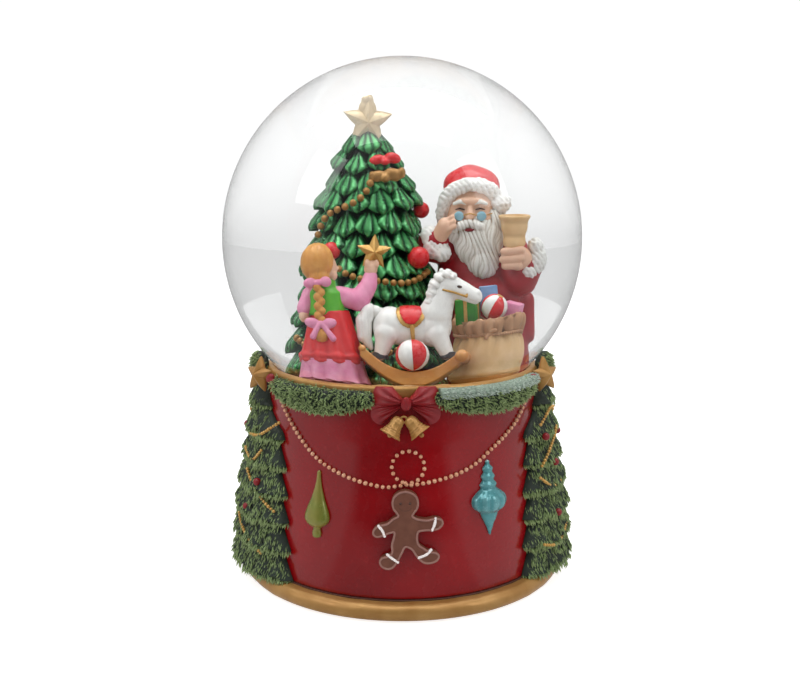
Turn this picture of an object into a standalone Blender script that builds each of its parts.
"""Musical snow globe: a glass water ball on a lacquered base, with a wind-up movement inside the base.

Metres, +Z up, origin at the middle of the foot. The front looks along -Y.
"""

import math

import bmesh
import bpy
from mathutils import Euler, Matrix, Vector

MM = 0.001
TURN = 2 * math.pi

# Gaps between pieces
GLUE_GAP = 0.3 * MM
RUNNING_GAP = 0.4 * MM

# Ball
GLOBE_RADIUS = 50 * MM
GLASS_WALL = 2 * MM
NECK_RADIUS = 33.5 * MM
NECK_LENGTH = 10 * MM
SHOULDER_HEIGHT = 55.9 * MM
GLOBE_STEPS = 28
GLOBE_RINGS = 11

# Stopper and ground
FLANGE_THICKNESS = 2 * MM
STOPPER_RISE = 0.6 * MM
GROUND_THICKNESS = 3.4 * MM
SCENE_DESIGN_RADIUS = 48 * MM

# Base
RIM_RISE = 2.9 * MM
RIM_WIDTH = 1.85 * MM
RIM_OVERHANG = 0.4 * MM
SHELL_FLARE = 4.2 * MM
SHELL_WALL = 3 * MM
SHELL_STEPS = 40
DESIGN_SHELL_HEIGHT = 50.5 * MM
DECK_THICKNESS = 3 * MM
DECK_HOLE_RADIUS = 10 * MM
SOCKET_CLEARANCE = 0.5 * MM
FOOT_HEIGHT = 4.7 * MM
FOOT_LIP = 3.8 * MM
FOOT_BORE_CLEARANCE = 0.3 * MM

# Trimmings on the base
SIDE_TREE_DEGREES = 83
SIDE_STAR_RADIUS = 4.6 * MM
SIDE_STAR_DEGREES = 74
SWAG_HALF_SPAN = 22
SWAG_HEIGHT = 5.2 * MM
SWAG_DEPTH = 2.6 * MM
CHAIN_RADIUS = 0.7 * MM
CHAIN_LOOP_RADIUS = 4 * MM
BOW_SHARE = 0.98
BELL_DROP = 6.3 * MM

# Cover and its screws
COVER_HEIGHT = 9.3 * MM
COVER_THICKNESS = 2 * MM
BOSS_RADIUS = 4 * MM
BOSS_LENGTH = 10 * MM
BOSS_SETBACK = 3.4 * MM
SCREW_RADIUS = 1.1 * MM
SCREW_HEAD_RADIUS = 2.4 * MM
SCREW_HEAD_HEIGHT = 1.3 * MM
SCREW_LENGTH = 7 * MM

# Movement
PLATE_THICKNESS = 2.5 * MM
PLATE_HALF_DEPTH = 17 * MM
PLATE_LEFT = -15 * MM
HOUSING_RADIUS = 12 * MM
HOUSING_HEIGHT = 8.5 * MM
HOUSING_WALL = 1 * MM
SPRING_TURNS = 3.5
SPRING_THICKNESS = 0.5 * MM
SHAFT_RADIUS = 1.3 * MM
WHEEL_THICKNESS = 1.6 * MM
GREAT_WHEEL_REACH = 1.2 * MM
GREAT_WHEEL_TEETH = 32
PINION_TEETH = 8
PINION_RISE = 0.1 * MM
CYLINDER_RADIUS = 3.9 * MM
CYLINDER_LENGTH = 11 * MM
CYLINDER_GEAR_RADIUS = 4.3 * MM
CYLINDER_GEAR_TEETH = 20
TOOTH_HEIGHT = 0.8 * MM
PIN_HEIGHT = 0.5 * MM
ARBOR_RADIUS = 0.8 * MM
BRACKET_THICKNESS = 1.2 * MM
COMB_THICKNESS = 0.9 * MM
COMB_TEETH = 12
GOVERNOR_PINION_TEETH = 15
GOVERNOR_WHEEL_RADIUS = 3.2 * MM
GOVERNOR_WHEEL_TEETH = 16
WORM_RADIUS = 1.2 * MM
FAN_RADIUS = 4 * MM
KEY_WIDTH = 20 * MM
KEY_THICKNESS = 1.8 * MM
KEY_HUB_RADIUS = 2.8 * MM
KEY_BOTTOM = 1.5 * MM

# Heights and radii that follow from the sizes above
BALL_Z = SHOULDER_HEIGHT + math.sqrt(GLOBE_RADIUS**2 - NECK_RADIUS**2)
NECK_BOTTOM = SHOULDER_HEIGHT - NECK_LENGTH
NECK_BORE = NECK_RADIUS - GLASS_WALL
STOPPER_TOP = SHOULDER_HEIGHT + STOPPER_RISE
FLANGE_TOP = NECK_BOTTOM - GLUE_GAP
FLANGE_BOTTOM = FLANGE_TOP - FLANGE_THICKNESS
GROUND_BOTTOM = STOPPER_TOP + GLUE_GAP
GROUND_TOP = GROUND_BOTTOM + GROUND_THICKNESS
GROUND_RADIUS = NECK_BORE - 2.3 * MM
SCENE_FLOOR = GROUND_TOP + GLUE_GAP
SCENE_SCALE = (GLOBE_RADIUS - GLASS_WALL) / SCENE_DESIGN_RADIUS

SHELL_TOP = SHOULDER_HEIGHT - 0.4 * MM
SHELL_BOTTOM = FOOT_HEIGHT + GLUE_GAP
RIM_BOTTOM = SHELL_TOP + GLUE_GAP
RIM_TOP = SHOULDER_HEIGHT + RIM_RISE
RIM_BORE = math.sqrt(GLOBE_RADIUS**2 - (BALL_Z - RIM_TOP) ** 2) + GLUE_GAP
RIM_OUTER = RIM_BORE + RIM_WIDTH
SHELL_TOP_RADIUS = RIM_OUTER - RIM_OVERHANG
DECK_TOP = FLANGE_BOTTOM - GLUE_GAP
DECK_BOTTOM = DECK_TOP - DECK_THICKNESS
SOCKET_RADIUS = NECK_RADIUS + SOCKET_CLEARANCE

COVER_TOP = COVER_HEIGHT + COVER_THICKNESS
PLATE_BOTTOM = COVER_TOP + GLUE_GAP
PLATE_TOP = PLATE_BOTTOM + PLATE_THICKNESS
MOVEMENT_FLOOR = PLATE_TOP + GLUE_GAP
HOUSING_TOP = MOVEMENT_FLOOR + HOUSING_HEIGHT
PINION_RADIUS = CYLINDER_RADIUS + PINION_RISE
CYLINDER_REACH = MOVEMENT_FLOOR + max(CYLINDER_GEAR_RADIUS, CYLINDER_RADIUS + PIN_HEIGHT)
GREAT_WHEEL_Z = max(HOUSING_TOP + 0.5 * MM, CYLINDER_REACH + PINION_RADIUS + GLUE_GAP)
CYLINDER_Z = GREAT_WHEEL_Z - GLUE_GAP - PINION_RADIUS
BRACKET_TOP = GREAT_WHEEL_Z - RUNNING_GAP
INNER_BRACKET_X = HOUSING_RADIUS + 0.6 * MM
PINION_X = INNER_BRACKET_X + BRACKET_THICKNESS + RUNNING_GAP
GREAT_WHEEL_RADIUS = PINION_X + WHEEL_THICKNESS + GREAT_WHEEL_REACH
CYLINDER_X = PINION_X + WHEEL_THICKNESS + GLUE_GAP
CYLINDER_GEAR_X = CYLINDER_X + CYLINDER_LENGTH + GLUE_GAP
OUTER_BRACKET_X = CYLINDER_GEAR_X + WHEEL_THICKNESS + RUNNING_GAP
PLATE_RIGHT = OUTER_BRACKET_X + BRACKET_THICKNESS + 0.6 * MM
GOVERNOR_Y = CYLINDER_RADIUS + PIN_HEIGHT + GOVERNOR_WHEEL_RADIUS + RUNNING_GAP
GOVERNOR_PINION_RADIUS = GOVERNOR_Y - CYLINDER_GEAR_RADIUS - RUNNING_GAP
WORM_Y = GOVERNOR_Y + GOVERNOR_WHEEL_RADIUS + WORM_RADIUS + RUNNING_GAP
GOVERNOR_WHEEL_X = CYLINDER_X + 6 * MM
FAN_Z = CYLINDER_Z + GOVERNOR_WHEEL_RADIUS + RUNNING_GAP
FRAME_TOP = FAN_Z + 4 * MM

# The shell flares as drawn, and further when the movement would touch it
PLATE_REACH = math.hypot(max(PLATE_RIGHT, -PLATE_LEFT), PLATE_HALF_DEPTH)
SHELL_BOTTOM_RADIUS = max(SHELL_TOP_RADIUS + SHELL_FLARE, PLATE_REACH + SHELL_WALL + 2 * MM)
FOOT_RADIUS = SHELL_BOTTOM_RADIUS + FOOT_LIP


# Scene and materials


def clear_scene():
    for old in list(bpy.data.objects):
        bpy.data.objects.remove(old, do_unlink=True)


def new_collection(name, hidden=False):
    collection = bpy.data.collections.new(name)
    collection.hide_render = hidden
    bpy.context.scene.collection.children.link(collection)
    return collection


def material(name, colour, roughness=0.4, metallic=0.0, transmission=0.0):
    made = bpy.data.materials.new(name)
    made.use_nodes = True
    shader = made.node_tree.nodes["Principled BSDF"]
    shader.inputs["Base Color"].default_value = (*colour, 1.0)
    shader.inputs["Roughness"].default_value = roughness
    shader.inputs["Metallic"].default_value = metallic
    shader.inputs["Transmission Weight"].default_value = transmission
    made.diffuse_color = (*colour, 1.0)
    return made


clear_scene()
PARTS = new_collection("snow_globe")
CUTTERS = new_collection("cutters", hidden=True)

GLASS = material("clear_glass", (0.95, 0.97, 0.98), 0.02, transmission=1.0)
WATER = material("clear_fluid", (0.97, 0.98, 0.98), 0.02, transmission=1.0)
RUBBER = material("white_rubber", (0.75, 0.74, 0.7), 0.7)
RED = material("red_lacquer", (0.36, 0.01, 0.015), 0.12)
GOLD = material("gold_paint", (0.62, 0.4, 0.13), 0.32, 0.8)
FIR = material("fir_green", (0.06, 0.2, 0.07), 0.55)
ENAMEL_GREEN = material("enamel_green", (0.01, 0.2, 0.06), 0.2, 0.4)
RED_PAINT = material("red_paint", (0.6, 0.02, 0.03), 0.35)
DRESS_PAINT = material("painted_dress", (0.7, 0.12, 0.14), 0.4)
WHITE = material("white_paint", (0.85, 0.84, 0.82), 0.35)
TAN = material("tan_paint", (0.5, 0.3, 0.13), 0.45)
GREEN_PAINT = material("green_paint", (0.05, 0.3, 0.06), 0.4)
OLIVE = material("olive_paint", (0.24, 0.24, 0.04), 0.3, 0.3)
BLUE = material("blue_paint", (0.08, 0.36, 0.42), 0.3, 0.3)
PINK = material("pink_paint", (0.6, 0.2, 0.28), 0.4)
GINGERBREAD = material("gingerbread_paint", (0.2, 0.06, 0.03), 0.5)
SNOW = material("ground_paint", (0.5, 0.36, 0.2), 0.6)
ZINC = material("cast_zinc", (0.5, 0.5, 0.5), 0.45, 1.0)
BRASS = material("brass", (0.75, 0.55, 0.22), 0.3, 1.0)
STEEL = material("steel", (0.6, 0.6, 0.62), 0.25, 1.0)
COVER = material("cover_plastic", (0.03, 0.03, 0.03), 0.5)


# Shape helpers


def add(name, data, finish, collection=None):
    made = bpy.data.objects.new(name, data)
    (collection or PARTS).objects.link(made)
    if finish:
        made.data.materials.append(finish)
    return made


def face_out(bm):
    """Makes the faces of a closed body agree, then turns them outwards."""
    bmesh.ops.recalc_face_normals(bm, faces=bm.faces[:])
    if bm.calc_volume(signed=True) < 0:
        bmesh.ops.reverse_faces(bm, faces=bm.faces[:])


def from_bmesh(name, bm, finish, collection=None):
    mesh = bpy.data.meshes.new(name)
    bm.to_mesh(mesh)
    bm.free()
    mesh.shade_smooth()
    mesh.set_sharp_from_angle(angle=math.radians(40))
    return add(name, mesh, finish, collection)


def turned(name, profile, steps, finish, closed=False, collection=None):
    """A profile of (radius, height) pairs, down its outer side, turned round Z."""
    mesh = bpy.data.meshes.new(name)
    count = len(profile)
    edges = [(i, (i + 1) % count) for i in range(count if closed else count - 1)]
    mesh.from_pydata([(r, 0, z) for r, z in profile], edges, [])
    made = add(name, mesh, finish, collection)
    screw = made.modifiers.new("turn", "SCREW")
    screw.steps = steps
    screw.render_steps = steps
    screw.use_merge_vertices = True
    screw.merge_threshold = 0.01 * MM
    screw.use_smooth_shade = True
    return made


def frozen(made):
    """Replaces a curve, or a mesh with modifiers, by a plain closed mesh in world space."""
    bpy.context.view_layer.update()
    graph = bpy.context.evaluated_depsgraph_get()
    mesh = bpy.data.meshes.new_from_object(made.evaluated_get(graph))
    mesh.transform(made.matrix_world)
    bm = bmesh.new()
    bm.from_mesh(mesh)
    bmesh.ops.remove_doubles(bm, verts=bm.verts[:], dist=0.01 * MM)
    name = made.name
    home = made.users_collection[0]
    finish = made.data.materials[0] if made.data.materials else None
    bpy.data.objects.remove(made, do_unlink=True)
    bpy.data.meshes.remove(mesh)
    return from_bmesh(name, bm, finish, home)


def plate(name, outlines, thickness, finish, matrix=None, collection=None):
    """A flat piece from closed outlines; the ones inside the first are holes."""
    curve = bpy.data.curves.new(name, "CURVE")
    curve.dimensions = "2D"
    curve.fill_mode = "BOTH"
    curve.extrude = thickness / 2
    for outline in outlines:
        spline = curve.splines.new("POLY")
        spline.points.add(len(outline) - 1)
        for point, (x, y) in zip(spline.points, outline):
            point.co = (x, y, 0, 1)
        spline.use_cyclic_u = True
    made = add(name, curve, finish, collection)
    made.matrix_world = matrix or Matrix()
    return frozen(made)


def circle(radius, steps, centre=(0, 0)):
    angles = [TURN * i / steps for i in range(steps)]
    return [(centre[0] + radius * math.cos(a), centre[1] + radius * math.sin(a)) for a in angles]


def rectangle(left, right, low, high):
    return [(left, low), (right, low), (right, high), (left, high)]


def gear_outline(tip_radius, teeth):
    root_radius = tip_radius - TOOTH_HEIGHT
    outline = []
    for tooth in range(teeth):
        corners = (root_radius, 0.05), (tip_radius, 0.3), (tip_radius, 0.5), (root_radius, 0.75)
        for radius, share in corners:
            angle = TURN * (tooth + share) / teeth
            outline.append((radius * math.cos(angle), radius * math.sin(angle)))
    return outline


def rod(bm, start, end, start_radius, end_radius=None, segments=12):
    """A capped round bar between two points."""
    start = Vector(start)
    axis = Vector(end) - start
    turn = Vector((0, 0, 1)).rotation_difference(axis).to_matrix().to_4x4()
    bmesh.ops.create_cone(
        bm,
        cap_ends=True,
        segments=segments,
        radius1=start_radius,
        radius2=start_radius if end_radius is None else end_radius,
        depth=axis.length,
        matrix=Matrix.Translation(start + axis / 2) @ turn,
    )


def block(bm, low, high):
    low = Vector(low)
    high = Vector(high)
    size = high - low
    middle = (low + high) / 2
    bmesh.ops.create_cube(bm, size=1, matrix=Matrix.Translation(middle) @ Matrix.Diagonal((*size, 1)))


def boolean(target, tool_bm, operation):
    """Joins or cuts with a hidden tool."""
    tool = from_bmesh(f"{target.name}_{operation.lower()}_{len(target.modifiers)}", tool_bm, None, CUTTERS)
    tool.display_type = "WIRE"
    tool.hide_render = True
    step = target.modifiers.new(operation.lower(), "BOOLEAN")
    step.operation = operation
    step.solver = "EXACT"
    step.object = tool
    step.use_self = operation == "UNION"


def rods(*bars):
    bm = bmesh.new()
    for bar in bars:
        rod(bm, *bar)
    return bm


# Ball, fluid, stopper and ground


def ball_profile(radius, lowest_angle):
    """Points of a circle from the top down to an angle measured from straight up."""
    angles = [lowest_angle * i / GLOBE_RINGS for i in range(GLOBE_RINGS + 1)]
    return [(radius * math.sin(a), BALL_Z + radius * math.cos(a)) for a in angles]


def bore_angle():
    """Where the inside of the ball meets the bore of the neck, measured from straight up."""
    return math.pi - math.asin(NECK_BORE / (GLOBE_RADIUS - GLASS_WALL))


def make_glass():
    neck_angle = math.pi - math.asin(NECK_RADIUS / GLOBE_RADIUS)
    inner_radius = GLOBE_RADIUS - GLASS_WALL
    outer = ball_profile(GLOBE_RADIUS, neck_angle) + [(NECK_RADIUS, NECK_BOTTOM)]
    inner = ball_profile(inner_radius, bore_angle()) + [(NECK_BORE, NECK_BOTTOM)]
    turned("glass_globe", outer + inner[::-1], GLOBE_STEPS, GLASS)


def make_fluid():
    """The fluid over the scene, with one open hollow for each group of figures."""
    floor = SCENE_FLOOR + 0.5 * MM
    wall = ball_profile(GLOBE_RADIUS - GLASS_WALL - GLUE_GAP, bore_angle())
    profile = [(r, z) for r, z in wall if z > floor]
    (upper_r, upper_z), (lower_r, lower_z) = profile[-1], wall[len(profile)]
    share = (upper_z - floor) / (upper_z - lower_z)
    profile += [(upper_r + (lower_r - upper_r) * share, floor), (0, floor)]
    fluid = frozen(turned("water_fill", profile, GLOBE_STEPS, WATER))
    hollows = (
        ((-7, 9), 20, 8.5, 66),
        ((17, 7.5), 15.2, 15.2, 51.5),
        ((-13, -14), 13, 12.4, 37),
        ((3.2, -16.2), 14.6, 14.6, 28.6),
        ((19, -5.2), 9.6, 9, 25),
    )
    for (x, y), low_radius, high_radius, height in hollows:
        bottom = scene_point(x, y, -3)
        top = scene_point(x, y, height)
        scale = SCENE_SCALE * MM
        boolean(fluid, rods((bottom, top, low_radius * scale, high_radius * scale, 20)), "DIFFERENCE")


def make_stopper():
    plug_radius = NECK_BORE - GLUE_GAP
    profile = [
        (0, STOPPER_TOP),
        (plug_radius - 1 * MM, STOPPER_TOP),
        (plug_radius, STOPPER_TOP - 1 * MM),
        (plug_radius, FLANGE_TOP),
        (NECK_RADIUS, FLANGE_TOP),
        (NECK_RADIUS, FLANGE_BOTTOM),
        (0, FLANGE_BOTTOM),
    ]
    turned("rubber_stopper", profile, GLOBE_STEPS, RUBBER)


def make_ground():
    profile = [
        (0, GROUND_TOP),
        (GROUND_RADIUS * 0.92, GROUND_TOP),
        (GROUND_RADIUS, GROUND_TOP - 1.2 * MM),
        (GROUND_RADIUS, GROUND_BOTTOM),
        (0, GROUND_BOTTOM),
    ]
    turned("scene_ground", profile, GLOBE_STEPS, SNOW)


# Figures. Their places are in millimetres from the middle of the ground, and scale with the ball.


def scene_point(x, y, z):
    scale = SCENE_SCALE * MM
    return Vector((x * scale, y * scale, SCENE_FLOOR + z * scale))


def blob(bm, centre, radii, tilt=(0, 0, 0)):
    scale = SCENE_SCALE * MM
    turn = Euler([math.radians(a) for a in tilt]).to_matrix().to_4x4()
    size = Matrix.Diagonal((*[r * scale for r in radii], 1))
    place = Matrix.Translation(scene_point(*centre)) @ turn @ size
    bmesh.ops.create_uvsphere(bm, u_segments=14, v_segments=8, radius=1, matrix=place)


def limb(bm, points, radii):
    scale = SCENE_SCALE * MM
    for (a, b), (ra, rb) in zip(zip(points, points[1:]), zip(radii, radii[1:])):
        rod(bm, scene_point(*a), scene_point(*b), ra * scale, rb * scale, 12)
    for point, radius in zip(points, radii):
        blob(bm, point, (radius,) * 3)


def skirt(bm, centre, low_radius, high_radius, height, depth=1.0):
    """An upright cone with its section squeezed front to back."""
    scale = SCENE_SCALE * MM
    x, y, z = centre
    place = Matrix.Translation(scene_point(x, y, z + height / 2)) @ Matrix.Diagonal((1, depth, 1, 1))
    bmesh.ops.create_cone(
        bm,
        cap_ends=True,
        segments=20,
        radius1=low_radius * scale,
        radius2=high_radius * scale,
        depth=height * scale,
        matrix=place,
    )


def cast(name, bm, finish, share, voxel=0.8):
    """Overlapping lumps made one skin, then thinned to a share of its faces."""
    made = from_bmesh(name, bm, finish)
    skin = made.modifiers.new("skin", "REMESH")
    skin.mode = "VOXEL"
    skin.voxel_size = voxel * SCENE_SCALE * MM
    thin = made.modifiers.new("thin", "DECIMATE")
    thin.ratio = share
    return made


def star(name, centre, radius, depth, turn, finish, inner_share=0.45):
    """A five-pointed star with a ridge along each point."""
    bm = bmesh.new()
    bmesh.ops.create_uvsphere(bm, u_segments=10, v_segments=2, radius=1)
    for vert in bm.verts:
        if abs(vert.co.z) > 0.5:
            vert.co *= depth
            continue
        index = round(math.atan2(vert.co.y, vert.co.x) / (TURN / 10))
        vert.co *= radius * (1 if index % 2 == 0 else inner_share)
    upright = Matrix.Rotation(math.radians(90), 4, "X") @ Matrix.Rotation(math.radians(90), 4, "Z")
    bm.transform(Matrix.Translation(centre) @ turn @ upright)
    return from_bmesh(name, bm, finish)


def make_tree():
    tiers = [(51.5, 3), (47, 7), (42.5, 9), (37.5, 11), (31.5, 12)]
    tiers += [(24.5, 13.4), (16, 15.4), (9, 16.2), (3, 16.3)]
    scale = SCENE_SCALE * MM
    profile = [(0, 52 * scale)]
    for height, radius in tiers:
        profile.append((radius * scale, height * scale))
        profile.append((radius * 0.7 * scale, (height - 1) * scale))
    profile.append((4 * scale, 0))
    profile.append((0, 0))
    tree = turned("fir_tree", profile, 16, ENAMEL_GREEN)
    tree.location = scene_point(-7, 9, 0)
    star("tree_star", scene_point(-7, 7.5, 56.8), 5 * scale, 1.6 * scale, Matrix(), GOLD)


def make_girl():
    bm = bmesh.new()
    skirt(bm, (-15.8, -14, 0.2), 8.7, 7.8, 3, 0.78)
    skirt(bm, (-16.2, -14, 2.2), 7.8, 3.4, 15, 0.78)
    skirt(bm, (-17, -14, 16.5), 3.8, 3.9, 7, 0.85)
    blob(bm, (-18.4, -14, 28.3), (3.8, 3.8, 4.2))
    blob(bm, (-18.7, -17.2, 21.5), (1.6, 1.4, 5))
    limb(bm, [(-14.6, -14, 22.2), (-8.8, -13.6, 20.4), (-6.9, -12.6, 26.6)], [2, 1.9, 1.2])
    limb(bm, [(-20.4, -14, 22), (-21.8, -15.6, 17.5)], [1.9, 1.5])
    cast("girl_figure", bm, DRESS_PAINT, 0.1)
    scale = SCENE_SCALE * MM
    star("hand_star", scene_point(-6.2, -13, 31.6), 3.6 * scale, 1.2 * scale, Matrix(), GOLD)


def make_horse():
    bm = bmesh.new()
    blob(bm, (2.2, -14, 14.2), (7, 3.3, 3.7))
    blob(bm, (7.2, -14, 15.4), (3.5, 3.2, 3.7))
    blob(bm, (-2.8, -14, 14.8), (3.6, 3.4, 3.7))
    limb(bm, [(8, -14, 16.5), (9.6, -14, 23.2)], [3.1, 2.2])
    limb(bm, [(9.4, -14, 24.2), (15.4, -14, 21.2)], [2.4, 1.5])
    limb(bm, [(9.2, -14, 24.5), (9.4, -14, 26.3)], [1.4, 0.7])
    for side in (-1, 1):
        limb(bm, [(8.2, -14 + 1.8 * side, 12.5), (9.6, -14 + 1.8 * side, 9.6)], [1.7, 1.3])
        limb(bm, [(-3.6, -14 + 1.8 * side, 12.5), (-3.9, -14 + 1.8 * side, 9.6)], [1.7, 1.3])
    limb(bm, [(-6, -14, 16.5), (-7.9, -14, 12)], [1.5, 1.2])
    cast("rocking_horse", bm, WHITE, 0.14)


def make_rocker():
    """A thick crescent that the horse stands on, low in the middle."""
    scale = SCENE_SCALE * MM
    middle = 2.6
    half = 12
    steps = [i / 8 - 1 for i in range(17)]
    top = [(middle + half * t, 3.2 + 4.4 * min(1, (t / 0.55) ** 2)) for t in steps]
    bottom = [(middle + half * t, 0.3 + 5 * t * t) for t in steps]
    outline = [(x * scale, z * scale) for x, z in bottom + top[::-1]]
    place = Matrix.Translation(scene_point(0, -16, 0)) @ Matrix.Rotation(math.radians(90), 4, "X")
    plate("horse_rocker", [outline], 10.5 * scale, TAN, place)
    ball("beach_ball", (2.3, -20.7, 7.7), 3.8, RED_PAINT)


def ball(name, centre, radius, finish):
    bm = bmesh.new()
    blob(bm, centre, (radius,) * 3)
    return from_bmesh(name, bm, finish)


def make_sack():
    bm = bmesh.new()
    blob(bm, (18.8, -5.2, 7.4), (8, 6.3, 7))
    skirt(bm, (18.4, -5.2, 11.5), 5.6, 6.6, 4, 0.8)
    cast("gift_sack", bm, TAN, 0.12)
    bm = bmesh.new()
    block(bm, scene_point(12.4, -9.2, 16.4), scene_point(16.4, -5.2, 20.8))
    from_bmesh("gift_box", bm, GREEN_PAINT)
    ball("toy_ball", (20, -6.6, 19.4), 2.8, RED_PAINT)


def make_gift_bringer():
    bm = bmesh.new()
    skirt(bm, (17.6, 9.5, 0.2), 8, 7.6, 20, 0.76)
    blob(bm, (16, 9.5, 26), (9, 6.6, 10.5))
    limb(bm, [(10.6, 9, 31.5), (7.9, 4.6, 28), (9.3, 1.6, 33.6)], [3.6, 3, 2])
    limb(bm, [(22, 9, 31), (26, 4.6, 27.6), (24.6, 2.2, 29.4)], [3.8, 3.2, 2.2])
    blob(bm, (14.4, 7.4, 39.6), (5.2, 5.2, 5.6))
    blob(bm, (16.3, 3, 32), (4.4, 3, 7))
    blob(bm, (14.4, 8, 43.6), (5.6, 5.4, 4.4))
    cast("gift_bringer", bm, RED_PAINT, 0.08)
    scale = SCENE_SCALE * MM
    profile = [(0, 38), (3, 38), (2.4, 32), (0, 32)]
    scroll = turned("paper_scroll", [(r * scale, z * scale) for r, z in profile], 12, TAN)
    scroll.location = scene_point(24, 0.4, 0)


# Base


def cone_radius(z):
    share = (z - SHELL_BOTTOM) / (SHELL_TOP - SHELL_BOTTOM)
    return SHELL_BOTTOM_RADIUS + (SHELL_TOP_RADIUS - SHELL_BOTTOM_RADIUS) * share


def skin_radius(z):
    """The outside of the base, rim included, that the reliefs lie on."""
    ramp_start = RIM_BOTTOM - 4 * MM
    if z <= ramp_start:
        return cone_radius(z)
    share = min(1, (z - ramp_start) / (RIM_BOTTOM - 0.3 * MM - ramp_start))
    return cone_radius(ramp_start) + (RIM_OUTER - cone_radius(ramp_start)) * share


def ball_radius(z):
    return math.sqrt(max(0, GLOBE_RADIUS**2 - (BALL_Z - z) ** 2))


def wall_point(degrees, z, out):
    """A point over the base wall, at an angle from the front and a distance out from the wall."""
    angle = math.radians(degrees)
    radius = skin_radius(z) + out
    return Vector((radius * math.sin(angle), -radius * math.cos(angle), z))


def wall_turn(degrees):
    return Matrix.Rotation(math.radians(degrees), 4, "Z")


def height_share(share):
    """A height on the shell: 0 at its bottom edge, 1 at its top edge."""
    return SHELL_BOTTOM + (SHELL_TOP - SHELL_BOTTOM) * share


def make_shell():
    inner_low = SHELL_BOTTOM_RADIUS - SHELL_WALL
    inner_high = cone_radius(DECK_BOTTOM) - SHELL_WALL
    profile = [
        (SHELL_TOP_RADIUS, SHELL_TOP),
        (SHELL_BOTTOM_RADIUS, SHELL_BOTTOM),
        (inner_low, SHELL_BOTTOM),
        (inner_high, DECK_BOTTOM),
        (DECK_HOLE_RADIUS, DECK_BOTTOM),
        (DECK_HOLE_RADIUS, DECK_TOP),
        (SOCKET_RADIUS, DECK_TOP),
        (SOCKET_RADIUS, SHELL_TOP),
    ]
    shell = frozen(turned("base_shell", profile, SHELL_STEPS, RED, closed=True))
    boss_low = COVER_TOP + GLUE_GAP
    bosses = []
    pilots = []
    for x, y in cover_screw_places():
        bosses.append(((x, y, boss_low), (x, y, boss_low + BOSS_LENGTH), BOSS_RADIUS, None, 12))
        pilot_top = boss_low + SCREW_LENGTH
        pilots.append(((x, y, boss_low - 1 * MM), (x, y, pilot_top), SCREW_RADIUS + GLUE_GAP, None, 10))
    boolean(shell, rods(*bosses), "UNION")
    boolean(shell, rods(*pilots), "DIFFERENCE")


def cover_screw_places():
    radius = cone_radius(COVER_TOP) - SHELL_WALL - BOSS_SETBACK
    angles = [math.radians(a) for a in (60, 180, 300)]
    return [(radius * math.cos(a), radius * math.sin(a)) for a in angles]


def make_rim():
    bevel = 0.5 * MM
    shoulder_bore = RIM_BORE - 1.2 * MM
    profile = [
        (RIM_OUTER - bevel, RIM_TOP),
        (RIM_OUTER, RIM_TOP - bevel),
        (RIM_OUTER, RIM_BOTTOM),
        (shoulder_bore, RIM_BOTTOM),
        (RIM_BORE, RIM_TOP - 0.4 * MM),
        (RIM_BORE, RIM_TOP),
    ]
    turned("top_rim", profile, SHELL_STEPS, GOLD, closed=True)


def foot_bore():
    return cone_radius(COVER_HEIGHT) - SHELL_WALL


def make_foot():
    half = FOOT_HEIGHT / 2
    middle = FOOT_RADIUS - half
    arc = [math.radians(a) for a in (75, 40, 0, -40, -85)]
    outer = [(middle + half * math.cos(a), half + half * math.sin(a)) for a in arc]
    outer[-1] = (outer[-1][0], 0)
    bore = [(foot_bore(), 0), (foot_bore(), FOOT_HEIGHT)]
    profile = [(SHELL_BOTTOM_RADIUS - 0.5 * MM, FOOT_HEIGHT)] + outer + bore
    turned("foot_ring", profile, SHELL_STEPS, GOLD, closed=True)


def relief(name, across, along, place, finish):
    """A grid laid on the base wall: place gives (degrees, z, out) for shares across and along."""
    bm = bmesh.new()
    bmesh.ops.create_grid(bm, x_segments=across, y_segments=along, size=0.5)
    shares = {vert: (vert.co.x + 0.5, vert.co.y + 0.5) for vert in bm.verts}
    grown = bmesh.ops.extrude_face_region(bm, geom=bm.faces[:])
    top = [item for item in grown["geom"] if isinstance(item, bmesh.types.BMVert)]
    for vert in top:
        degrees, z, out = place(vert.co.x + 0.5, vert.co.y + 0.5)
        vert.co = wall_point(degrees, z, out)
    for vert, (s, t) in shares.items():
        degrees, z, _ = place(s, t)
        vert.co = wall_point(degrees, z, GLUE_GAP)
    face_out(bm)
    return from_bmesh(name, bm, finish)


def degrees_of(length, z):
    return math.degrees(length / skin_radius(z))


def crown(share, depth):
    """Rises from a low edge to the full depth in the middle of a width."""
    return GLUE_GAP + 0.5 * MM + depth * math.sqrt(max(0, 1 - (2 * share - 1) ** 2))


def make_side_trees():
    low = SHELL_BOTTOM + GLUE_GAP

    def place(s, t):
        z = low + (height_share(0.955) - low) * t
        tier = (t * 6) % 1
        half_width = (27 - 9.5 * t - 2.2 * tier) * MM * min(1, 0.35 + (1 - t) * 3.2)
        depth = (4.6 + 3 * t * math.exp(-((t - 0.25) / 0.3) ** 2) - 2.4 * t - 0.7 * tier) * MM
        return (2 * s - 1) * degrees_of(half_width, z), z, crown(s, depth)

    for name, side in (("left", -1), ("right", 1)):
        centre = SIDE_TREE_DEGREES * side
        relief(
            f"side_tree_{name}",
            8,
            15,
            lambda s, t, centre=centre: (place(s, t)[0] + centre, *place(s, t)[1:]),
            FIR,
        )
        depth = 1.3 * MM
        z = RIM_TOP - 1 * MM
        centre = SIDE_STAR_DEGREES * side
        turn = wall_turn(centre)
        radius = SIDE_STAR_RADIUS
        clear_of_ball = ball_radius(z + radius) - skin_radius(z)
        out = max(GLUE_GAP, clear_of_ball + GLUE_GAP) + depth
        star(f"side_star_{name}", wall_point(centre, z, out), radius, depth, turn, GOLD)


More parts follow.
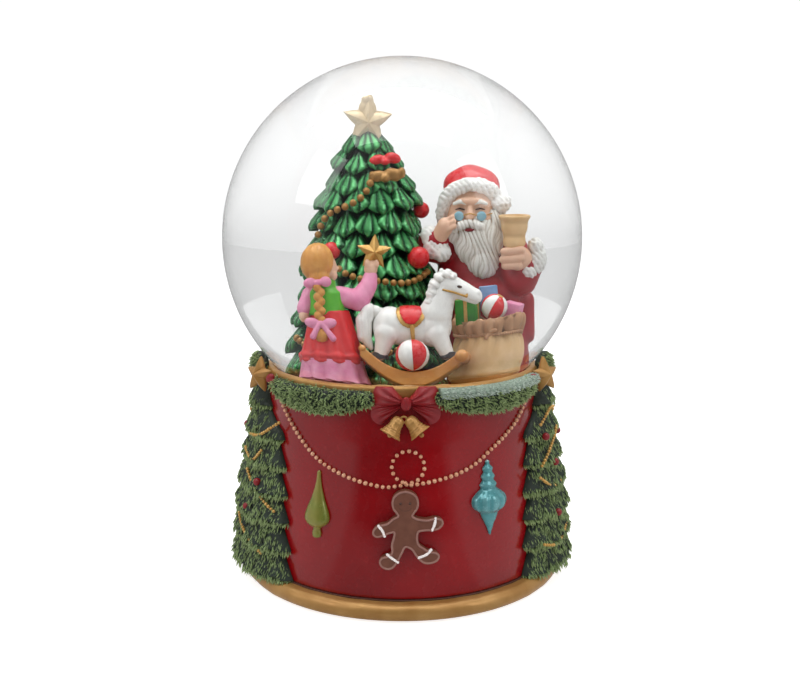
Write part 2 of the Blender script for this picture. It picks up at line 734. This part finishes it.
def make_swags():
    spans = (
        ("fir_swag_left", -35.5),
        ("fir_swag_right", 37.5),
        ("fir_swag_back_left", 180 + 27),
        ("fir_swag_back_right", 180 - 27),
    )
    for name, centre in spans:

        def place(s, t, centre=centre):
            sag = 2.2 * MM * math.sin(math.pi * s)
            end = 0.55 + 0.45 * math.sin(math.pi * s)
            middle = height_share(0.975) - sag
            z = middle + (t - 0.5) * SWAG_HEIGHT * end
            return centre + (2 * s - 1) * SWAG_HALF_SPAN, z, crown(t, SWAG_DEPTH * end)

        relief(name, 14, 4, place, FIR)


def make_bow():
    """Two loops, two tails and a knot, cast in one."""
    bm = bmesh.new()
    base = height_share(BOW_SHARE)
    lumps = [(1.5, 0, 2.3, (1.9, 1.6, 2))]
    for side in (-1, 1):
        lumps.append((1.5 + 6.4 * side, 0.9, 2.1, (4.3, 1.4, 2.3)))
        lumps.append((1.5 + 6.5 * side, -2.4, 1.8, (3.6, 1, 1.3)))
    for degrees, rise, out, radii in lumps:
        place = Matrix.Translation(wall_point(degrees, base + rise * MM, out * MM)) @ wall_turn(degrees)
        size = Matrix.Diagonal((*[r * MM for r in radii], 1))
        bmesh.ops.create_uvsphere(bm, u_segments=14, v_segments=8, radius=1, matrix=place @ size)
    made = from_bmesh("ribbon_bow", bm, RED_PAINT)
    skin = made.modifiers.new("skin", "REMESH")
    skin.mode = "VOXEL"
    skin.voxel_size = 0.5 * MM
    thin = made.modifiers.new("thin", "DECIMATE")
    thin.ratio = 0.15


def make_bells():
    profile = [(0, 3), (1, 2.7), (1.5, 1.2), (1.8, -1.2), (2.7, -2.8), (2.4, -3), (0, -2.6)]
    for name, degrees, tilt in (("bell_left", -4.6, 38), ("bell_right", 7.6, -38)):
        bell = turned(name, [(r * MM, z * MM) for r, z in profile], 12, GOLD)
        out = wall_point(degrees, height_share(BOW_SHARE) - BELL_DROP, 3.2 * MM)
        tip = Matrix.Rotation(math.radians(tilt), 4, "Y")
        bell.matrix_world = Matrix.Translation(out) @ wall_turn(degrees) @ tip


def smooth_path(points, per_span):
    """A curve through every point, by Catmull-Rom spans."""
    route = []
    for i in range(len(points) - 1):
        a, b = points[max(i - 1, 0)], points[i]
        c, d = points[i + 1], points[min(i + 2, len(points) - 1)]
        for step in range(per_span):
            t = step / per_span
            route.append(
                0.5
                * (2 * b + (c - a) * t + (2 * a - 5 * b + 4 * c - d) * t**2 + (3 * b - a - 3 * c + d) * t**3)
            )
    route.append(points[-1])
    return route


def tube(name, route, radius, finish):
    curve = bpy.data.curves.new(name, "CURVE")
    curve.dimensions = "3D"
    curve.bevel_depth = radius
    curve.bevel_resolution = 1
    curve.use_fill_caps = True
    spline = curve.splines.new("POLY")
    spline.points.add(len(route) - 1)
    for point, place in zip(spline.points, route):
        point.co = (*place, 1)
    return add(name, curve, finish)


def make_chains():
    """Strings of beads in relief: one ends in a loop that lies over itself, one sags across the back."""
    out = GLUE_GAP + CHAIN_RADIUS + 0.2 * MM
    left = [(-53, 0.885), (-46, 0.805), (-38, 0.72), (-29, 0.645), (-19, 0.59), (-8, 0.563)]
    right = [(11, 0.6), (19, 0.625), (28, 0.675), (36, 0.745), (44, 0.815), (53, 0.885)]
    loop_centre = wall_point(2.1, height_share(0.672), 0)
    loop = []
    for i in range(12):
        angle = math.radians(-105 - 330 * i / 11)
        x = loop_centre.x + CHAIN_LOOP_RADIUS * math.cos(angle)
        z = loop_centre.z + CHAIN_LOOP_RADIUS * math.sin(angle)
        loop.append(wall_point(math.degrees(math.asin(x / skin_radius(z))), z, out))
    strand = [wall_point(d, height_share(h), out) for d, h in left]
    tube("bead_chain", smooth_path(strand + loop, 2), CHAIN_RADIUS, GOLD)
    strand = [wall_point(d, height_share(h), out) for d, h in right]
    tube("bead_chain_right", smooth_path(strand, 2), CHAIN_RADIUS, GOLD)
    across = [i / 10 for i in range(11)]
    back = [wall_point(127 + 106 * s, height_share(0.885 - 1.3 * s * (1 - s)), out) for s in across]
    tube("bead_chain_back", smooth_path(back, 2), CHAIN_RADIUS, GOLD)


def hanging(name, degrees, low, high, half_width, depth, widths, finish):
    """A hanging ornament whose half width along its height comes from shares."""

    def place(s, t):
        z = low + (high - low) * t
        index = min(int(t * (len(widths) - 1)), len(widths) - 2)
        part = t * (len(widths) - 1) - index
        width = widths[index] * (1 - part) + widths[index + 1] * part
        out = GLUE_GAP + 0.3 * MM + depth * width * math.sqrt(max(0, 1 - (2 * s - 1) ** 2))
        return degrees + (2 * s - 1) * degrees_of(half_width * width, z), z, out

    relief(name, 4, round(1.5 * (len(widths) - 1)), place, finish)


def make_ornaments():
    teardrop = (0.34, 0.42, 0.95, 1, 0.85, 0.62, 0.42, 0.28, 0.18)
    onion = (0.06, 0.22, 0.4, 0.75, 1, 0.98, 0.6, 0.42, 0.16)
    round_shape = (0.3, 0.72, 0.93, 1, 0.93, 0.72, 0.24)
    low, high = height_share(0.27), height_share(0.61)
    hanging("teardrop_ornament", -32, low, high, 3.6 * MM, 2.6 * MM, teardrop, OLIVE)
    hanging("onion_ornament", 33, height_share(0.285), height_share(0.655), 5.2 * MM, 3 * MM, onion, BLUE)
    low, high = height_share(0.54), height_share(0.72)
    hanging("back_bauble", -138, low, high, 4.6 * MM, 3.4 * MM, round_shape, PINK)


def make_gingerbread():
    """A flat cut-out figure, bent to the wall."""
    scale = (SHELL_TOP - SHELL_BOTTOM) / DESIGN_SHELL_HEIGHT * MM
    half = [(0, 12.6), (1.9, 12.2), (3.4, 10.7), (3.7, 8.9), (2.9, 6.8), (1.9, 5.8), (3.4, 5.2)]
    half += [(8, 5.6), (9.4, 4.2), (8.9, 2.3), (6.9, 1.9), (3.4, 1.6), (3.1, -0.6), (5.9, -5.4)]
    half += [(8.2, -7), (7.9, -8.9), (4.9, -9.3), (3.1, -7.6), (0, -2.6)]
    outline = [(x * scale, z * scale) for x, z in half]
    outline += [(-x * scale, z * scale) for x, z in half[-2:0:-1]]
    thickness = 1.6 * MM
    flat = plate("gingerbread_figure", [outline], thickness, GINGERBREAD)
    bm = bmesh.new()
    bm.from_mesh(flat.data)
    for cut in range(-3, 4):
        everything = bm.verts[:] + bm.edges[:] + bm.faces[:]
        bmesh.ops.bisect_plane(bm, geom=everything, plane_co=(cut * 2.6 * MM, 0, 0), plane_no=(1, 0, 0))
    middle = height_share(0.29)
    for vert in bm.verts:
        z = middle + vert.co.y
        out = GLUE_GAP + thickness / 2 + vert.co.z
        vert.co = wall_point(1 + degrees_of(vert.co.x, z), z, out)
    face_out(bm)
    bm.to_mesh(flat.data)
    bm.free()


# Underside and movement


def screw(name, x, y, seat, length, finish, up=1):
    """A pan-head screw; its head hangs under the seat, or stands on it when up is -1."""
    profile = [
        (0, length),
        (SCREW_RADIUS, length - 0.8 * MM),
        (SCREW_RADIUS, -GLUE_GAP),
        (SCREW_HEAD_RADIUS, -GLUE_GAP),
        (SCREW_HEAD_RADIUS - 0.4 * MM, -SCREW_HEAD_HEIGHT),
        (0, -SCREW_HEAD_HEIGHT),
    ]
    made = turned(name, profile, 12, finish)
    made.location = (x, y, seat)
    made.rotation_euler = (0 if up > 0 else math.pi, 0, 0)


def movement_screw_places():
    inset = 4 * MM
    return [(PLATE_LEFT + inset, -PLATE_HALF_DEPTH + inset), (PLATE_LEFT + inset, PLATE_HALF_DEPTH - inset)]


def make_cover():
    hole = SCREW_RADIUS + RUNNING_GAP
    outlines = [circle(foot_bore() - FOOT_BORE_CLEARANCE, SHELL_STEPS), circle(SHAFT_RADIUS + 1.5 * MM, 16)]
    places = cover_screw_places() + movement_screw_places()
    outlines += [circle(hole, 12, place) for place in places]
    middle = Matrix.Translation((0, 0, COVER_HEIGHT + COVER_THICKNESS / 2))
    plate("base_cover", outlines, COVER_THICKNESS, COVER, middle)
    for index, (x, y) in enumerate(cover_screw_places(), 1):
        screw(f"cover_screw_{index}", x, y, COVER_HEIGHT, SCREW_LENGTH, STEEL)
    for index, (x, y) in enumerate(movement_screw_places(), 1):
        screw(f"movement_screw_{index}", x, y, COVER_HEIGHT, COVER_THICKNESS + PLATE_THICKNESS, STEEL)


def make_bedplate():
    hole = SCREW_RADIUS + GLUE_GAP
    outlines = [
        rectangle(PLATE_LEFT, PLATE_RIGHT, -PLATE_HALF_DEPTH, PLATE_HALF_DEPTH),
        circle(SHAFT_RADIUS + RUNNING_GAP, 16),
        circle(ARBOR_RADIUS + GLUE_GAP, 10, (GOVERNOR_WHEEL_X + WHEEL_THICKNESS / 2, WORM_Y)),
    ]
    outlines += [circle(hole, 12, place) for place in movement_screw_places()]
    middle = Matrix.Translation((0, 0, PLATE_BOTTOM + PLATE_THICKNESS / 2))
    bedplate = plate("movement_bedplate", outlines, PLATE_THICKNESS, ZINC, middle)
    rest = bmesh.new()
    block(
        rest,
        (CYLINDER_X, -PLATE_HALF_DEPTH + 1 * MM, PLATE_TOP - 0.5 * MM),
        (CYLINDER_X + CYLINDER_LENGTH, -PLATE_HALF_DEPTH + 6 * MM, comb_z() - COMB_THICKNESS / 2 - GLUE_GAP),
    )
    boolean(bedplate, rest, "UNION")
    x, y = comb_screw_place()
    top = comb_z()
    hole = rods(((x, y, top - SCREW_LENGTH), (x, y, top), SCREW_RADIUS + GLUE_GAP, None, 10))
    boolean(bedplate, hole, "DIFFERENCE")


def comb_z():
    return CYLINDER_Z


def comb_screw_place():
    return CYLINDER_X + CYLINDER_LENGTH / 2, -PLATE_HALF_DEPTH + 3.5 * MM


def make_comb():
    left = CYLINDER_X + 0.3 * MM
    right = CYLINDER_X + CYLINDER_LENGTH - 0.3 * MM
    back = -PLATE_HALF_DEPTH + 1 * MM
    root = -PLATE_HALF_DEPTH + 7 * MM
    tip = -(CYLINDER_RADIUS + PIN_HEIGHT + RUNNING_GAP)
    pitch = (right - left) / COMB_TEETH
    outline = [(left, back), (right, back)]
    for tooth in reversed(range(COMB_TEETH)):
        start = left + tooth * pitch
        end = start + pitch * 0.6
        outline += [(end, root), (end, tip), (start, tip), (start, root)]
    outline.insert(2, (right, root))
    hole = circle(SCREW_RADIUS + GLUE_GAP, 12, comb_screw_place())
    plate("music_comb", [outline, hole], COMB_THICKNESS, STEEL, Matrix.Translation((0, 0, comb_z())))
    x, y = comb_screw_place()
    screw("comb_screw", x, y, comb_z() + COMB_THICKNESS / 2, SCREW_LENGTH - 2 * MM, STEEL, up=-1)


def make_spring():
    inner = HOUSING_RADIUS - HOUSING_WALL
    roof = HOUSING_TOP - HOUSING_WALL
    profile = [
        (HOUSING_RADIUS, HOUSING_TOP),
        (HOUSING_RADIUS, MOVEMENT_FLOOR),
        (inner, MOVEMENT_FLOOR),
        (inner, roof),
        (SHAFT_RADIUS + RUNNING_GAP, roof),
        (SHAFT_RADIUS + RUNNING_GAP, HOUSING_TOP),
    ]
    turned("spring_housing", profile, 24, STEEL, closed=True)
    first = SHAFT_RADIUS + 2 * MM
    last = inner - 1.2 * MM
    count = int(SPRING_TURNS * 14)
    paths = []
    for offset in (0, SPRING_THICKNESS):
        path = []
        for i in range(count + 1):
            share = i / count
            angle = TURN * SPRING_TURNS * share
            radius = first + (last - first) * share + offset
            path.append((radius * math.cos(angle), radius * math.sin(angle)))
        paths.append(path)
    height = HOUSING_HEIGHT - HOUSING_WALL - 1.4 * MM
    middle = Matrix.Translation((0, 0, MOVEMENT_FLOOR + 0.7 * MM + height / 2))
    plate("mainspring", [paths[0] + paths[1][::-1]], height, STEEL, middle)


def make_winding():
    """Shaft, key and great wheel, which turn together."""
    hub_top = COVER_HEIGHT - 0.5 * MM
    thread_depth = 5 * MM
    shaft_low = hub_top - thread_depth + 0.5 * MM
    shaft_high = GREAT_WHEEL_Z + WHEEL_THICKNESS + 1.2 * MM
    shaft = [(0, shaft_high), (SHAFT_RADIUS, shaft_high), (SHAFT_RADIUS, shaft_low), (0, shaft_low)]
    turned("winding_shaft", shaft, 16, STEEL)
    wheel = [gear_outline(GREAT_WHEEL_RADIUS, GREAT_WHEEL_TEETH), circle(SHAFT_RADIUS + GLUE_GAP, 16)]
    place = Matrix.Translation((0, 0, GREAT_WHEEL_Z + WHEEL_THICKNESS / 2))
    plate("great_wheel", wheel, WHEEL_THICKNESS, BRASS, place)
    half = KEY_WIDTH / 2
    low = KEY_BOTTOM
    high = hub_top - 1.5 * MM
    middle = (low + high) / 2
    reach = (high - low) / 2
    right = []
    for angle in range(-90, 91, 30):
        a = math.radians(angle)
        right.append((half - reach + reach * math.cos(a), middle + reach * math.sin(a)))
    left = [(-x, z) for x, z in reversed(right)]
    outline = right + [(1 * MM, high - 1.2 * MM)] + left + [(-1 * MM, low + 1.2 * MM)]
    key = plate("winding_key", [outline], KEY_THICKNESS, ZINC, Matrix.Rotation(math.radians(90), 4, "X"))
    hub = rods(((0, 0, low + 0.6 * MM), (0, 0, hub_top), KEY_HUB_RADIUS, None, 16))
    boolean(key, hub, "UNION")
    bore = rods(((0, 0, hub_top - thread_depth), (0, 0, hub_top + 1 * MM), SHAFT_RADIUS + GLUE_GAP, None, 16))
    boolean(key, bore, "DIFFERENCE")


def along_x(x, y=0.0):
    """Turns a flat piece so that it faces along X at the cylinder's height."""
    return Matrix.Translation((x, y, CYLINDER_Z)) @ Matrix.Rotation(math.radians(90), 4, "Y")


def make_cylinder():
    arbor_start = INNER_BRACKET_X - GLUE_GAP
    arbor_end = OUTER_BRACKET_X + BRACKET_THICKNESS + GLUE_GAP
    profile = [
        (0, arbor_end),
        (ARBOR_RADIUS, arbor_end),
        (ARBOR_RADIUS, CYLINDER_X + CYLINDER_LENGTH),
        (CYLINDER_RADIUS, CYLINDER_X + CYLINDER_LENGTH),
        (CYLINDER_RADIUS, CYLINDER_X),
        (ARBOR_RADIUS, CYLINDER_X),
        (ARBOR_RADIUS, arbor_start),
        (0, arbor_start),
    ]
    drum = turned("pinned_cylinder", profile, 20, BRASS)
    drum.matrix_world = along_x(0)
    drum = frozen(drum)
    pins = bmesh.new()
    pin = 0.35 * MM
    for index in range(COMB_TEETH * 2):
        angle = TURN * (index * 0.381966 % 1)
        x = CYLINDER_X + 0.9 * MM + (CYLINDER_LENGTH - 1.8 * MM) * (index % COMB_TEETH) / (COMB_TEETH - 1)
        reach = CYLINDER_RADIUS + PIN_HEIGHT
        size = Matrix.Diagonal((pin, pin, 2 * PIN_HEIGHT + 0.6 * MM, 1))
        spot = Matrix.Translation((0, 0, reach - PIN_HEIGHT - 0.3 * MM))
        spin = Matrix.Rotation(angle, 4, "X")
        centre = Matrix.Translation((x, 0, CYLINDER_Z))
        bmesh.ops.create_cube(pins, size=1, matrix=centre @ spin @ spot @ size)
    boolean(drum, pins, "UNION")
    bore = circle(ARBOR_RADIUS + GLUE_GAP, 12)
    half = WHEEL_THICKNESS / 2
    pinion = [gear_outline(PINION_RADIUS, PINION_TEETH), bore]
    plate("cylinder_pinion", pinion, WHEEL_THICKNESS, BRASS, along_x(PINION_X + half))
    gear = [gear_outline(CYLINDER_GEAR_RADIUS, CYLINDER_GEAR_TEETH), bore]
    plate("cylinder_gear", gear, WHEEL_THICKNESS, BRASS, along_x(CYLINDER_GEAR_X + half))
    for name, x in (("inner", INNER_BRACKET_X), ("outer", OUTER_BRACKET_X)):
        low = CYLINDER_Z - MOVEMENT_FLOOR
        outline = rectangle(-(BRACKET_TOP - CYLINDER_Z), low, -3 * MM, 3 * MM)
        hole = circle(ARBOR_RADIUS + GLUE_GAP, 12)
        spot = along_x(x + BRACKET_THICKNESS / 2)
        plate(f"cylinder_bracket_{name}", [outline, hole], BRACKET_THICKNESS, ZINC, spot)


def make_governor():
    arm_end = GOVERNOR_WHEEL_X + WHEEL_THICKNESS + 2 * MM
    worm_x = GOVERNOR_WHEEL_X + WHEEL_THICKNESS / 2
    inner_x = worm_x - FAN_RADIUS - RUNNING_GAP
    frame_x = inner_x - BRACKET_THICKNESS
    under_arm = FRAME_TOP - BRACKET_THICKNESS
    foot = [(frame_x, MOVEMENT_FLOOR), (inner_x, MOVEMENT_FLOOR)]
    outline = foot + [(inner_x, under_arm), (arm_end, under_arm)]
    outline += [(arm_end, FRAME_TOP), (frame_x, FRAME_TOP)]
    front = GOVERNOR_Y - 2 * MM
    back = WORM_Y + 2 * MM
    spot = Matrix.Translation((0, (front + back) / 2, 0)) @ Matrix.Rotation(math.radians(90), 4, "X")
    frame = plate("governor_frame", [outline], back - front, ZINC, spot)
    bearing = ARBOR_RADIUS + GLUE_GAP
    holes = rods(
        (
            (frame_x - 1 * MM, GOVERNOR_Y, CYLINDER_Z),
            (inner_x + 1 * MM, GOVERNOR_Y, CYLINDER_Z),
            bearing,
            None,
            10,
        ),
        ((worm_x, WORM_Y, under_arm - 1 * MM), (worm_x, WORM_Y, FRAME_TOP + 1 * MM), bearing, None, 10),
    )
    boolean(frame, holes, "DIFFERENCE")

    wheel = [gear_outline(GOVERNOR_WHEEL_RADIUS, GOVERNOR_WHEEL_TEETH)]
    gear = plate("governor_wheel", wheel, WHEEL_THICKNESS, BRASS, along_x(worm_x, GOVERNOR_Y))
    near, far = (frame_x, GOVERNOR_Y, CYLINDER_Z), (CYLINDER_GEAR_X, GOVERNOR_Y, CYLINDER_Z)
    arbor = rods((near, far, ARBOR_RADIUS, None, 12))
    boolean(gear, arbor, "UNION")
    pinion = [gear_outline(GOVERNOR_PINION_RADIUS, GOVERNOR_PINION_TEETH)]
    spot = along_x(CYLINDER_GEAR_X + WHEEL_THICKNESS / 2, GOVERNOR_Y)
    leaf = plate("governor_pinion_tool", pinion, WHEEL_THICKNESS + 0.4 * MM, None, spot)
    tool = bmesh.new()
    tool.from_mesh(leaf.data)
    bpy.data.objects.remove(leaf, do_unlink=True)
    boolean(gear, tool, "UNION")

    top = FRAME_TOP - GLUE_GAP
    thread_top = CYLINDER_Z + GOVERNOR_WHEEL_RADIUS
    profile = [
        (0, top),
        (ARBOR_RADIUS, top),
        (ARBOR_RADIUS, thread_top),
        (WORM_RADIUS, thread_top),
        (WORM_RADIUS, MOVEMENT_FLOOR),
        (ARBOR_RADIUS, MOVEMENT_FLOOR),
        (ARBOR_RADIUS, PLATE_BOTTOM + 0.8 * MM),
        (0, PLATE_BOTTOM + 0.8 * MM),
    ]
    worm = turned("governor_worm", profile, 12, STEEL)
    worm.location = (worm_x, WORM_Y, 0)
    worm = frozen(worm)
    fan = bmesh.new()
    block(
        fan,
        (worm_x - FAN_RADIUS, WORM_Y - 0.4 * MM, FAN_Z),
        (worm_x + FAN_RADIUS, WORM_Y + 0.4 * MM, FAN_Z + 2.2 * MM),
    )
    boolean(worm, fan, "UNION")


make_glass()
make_fluid()
make_stopper()
make_ground()
make_tree()
make_girl()
make_horse()
make_rocker()
make_sack()
make_gift_bringer()
make_shell()
make_rim()
make_foot()
make_side_trees()
make_swags()
make_bow()
make_bells()
make_chains()
make_ornaments()
make_gingerbread()
make_cover()
make_bedplate()
make_comb()
make_spring()
make_winding()
make_cylinder()
make_governor()
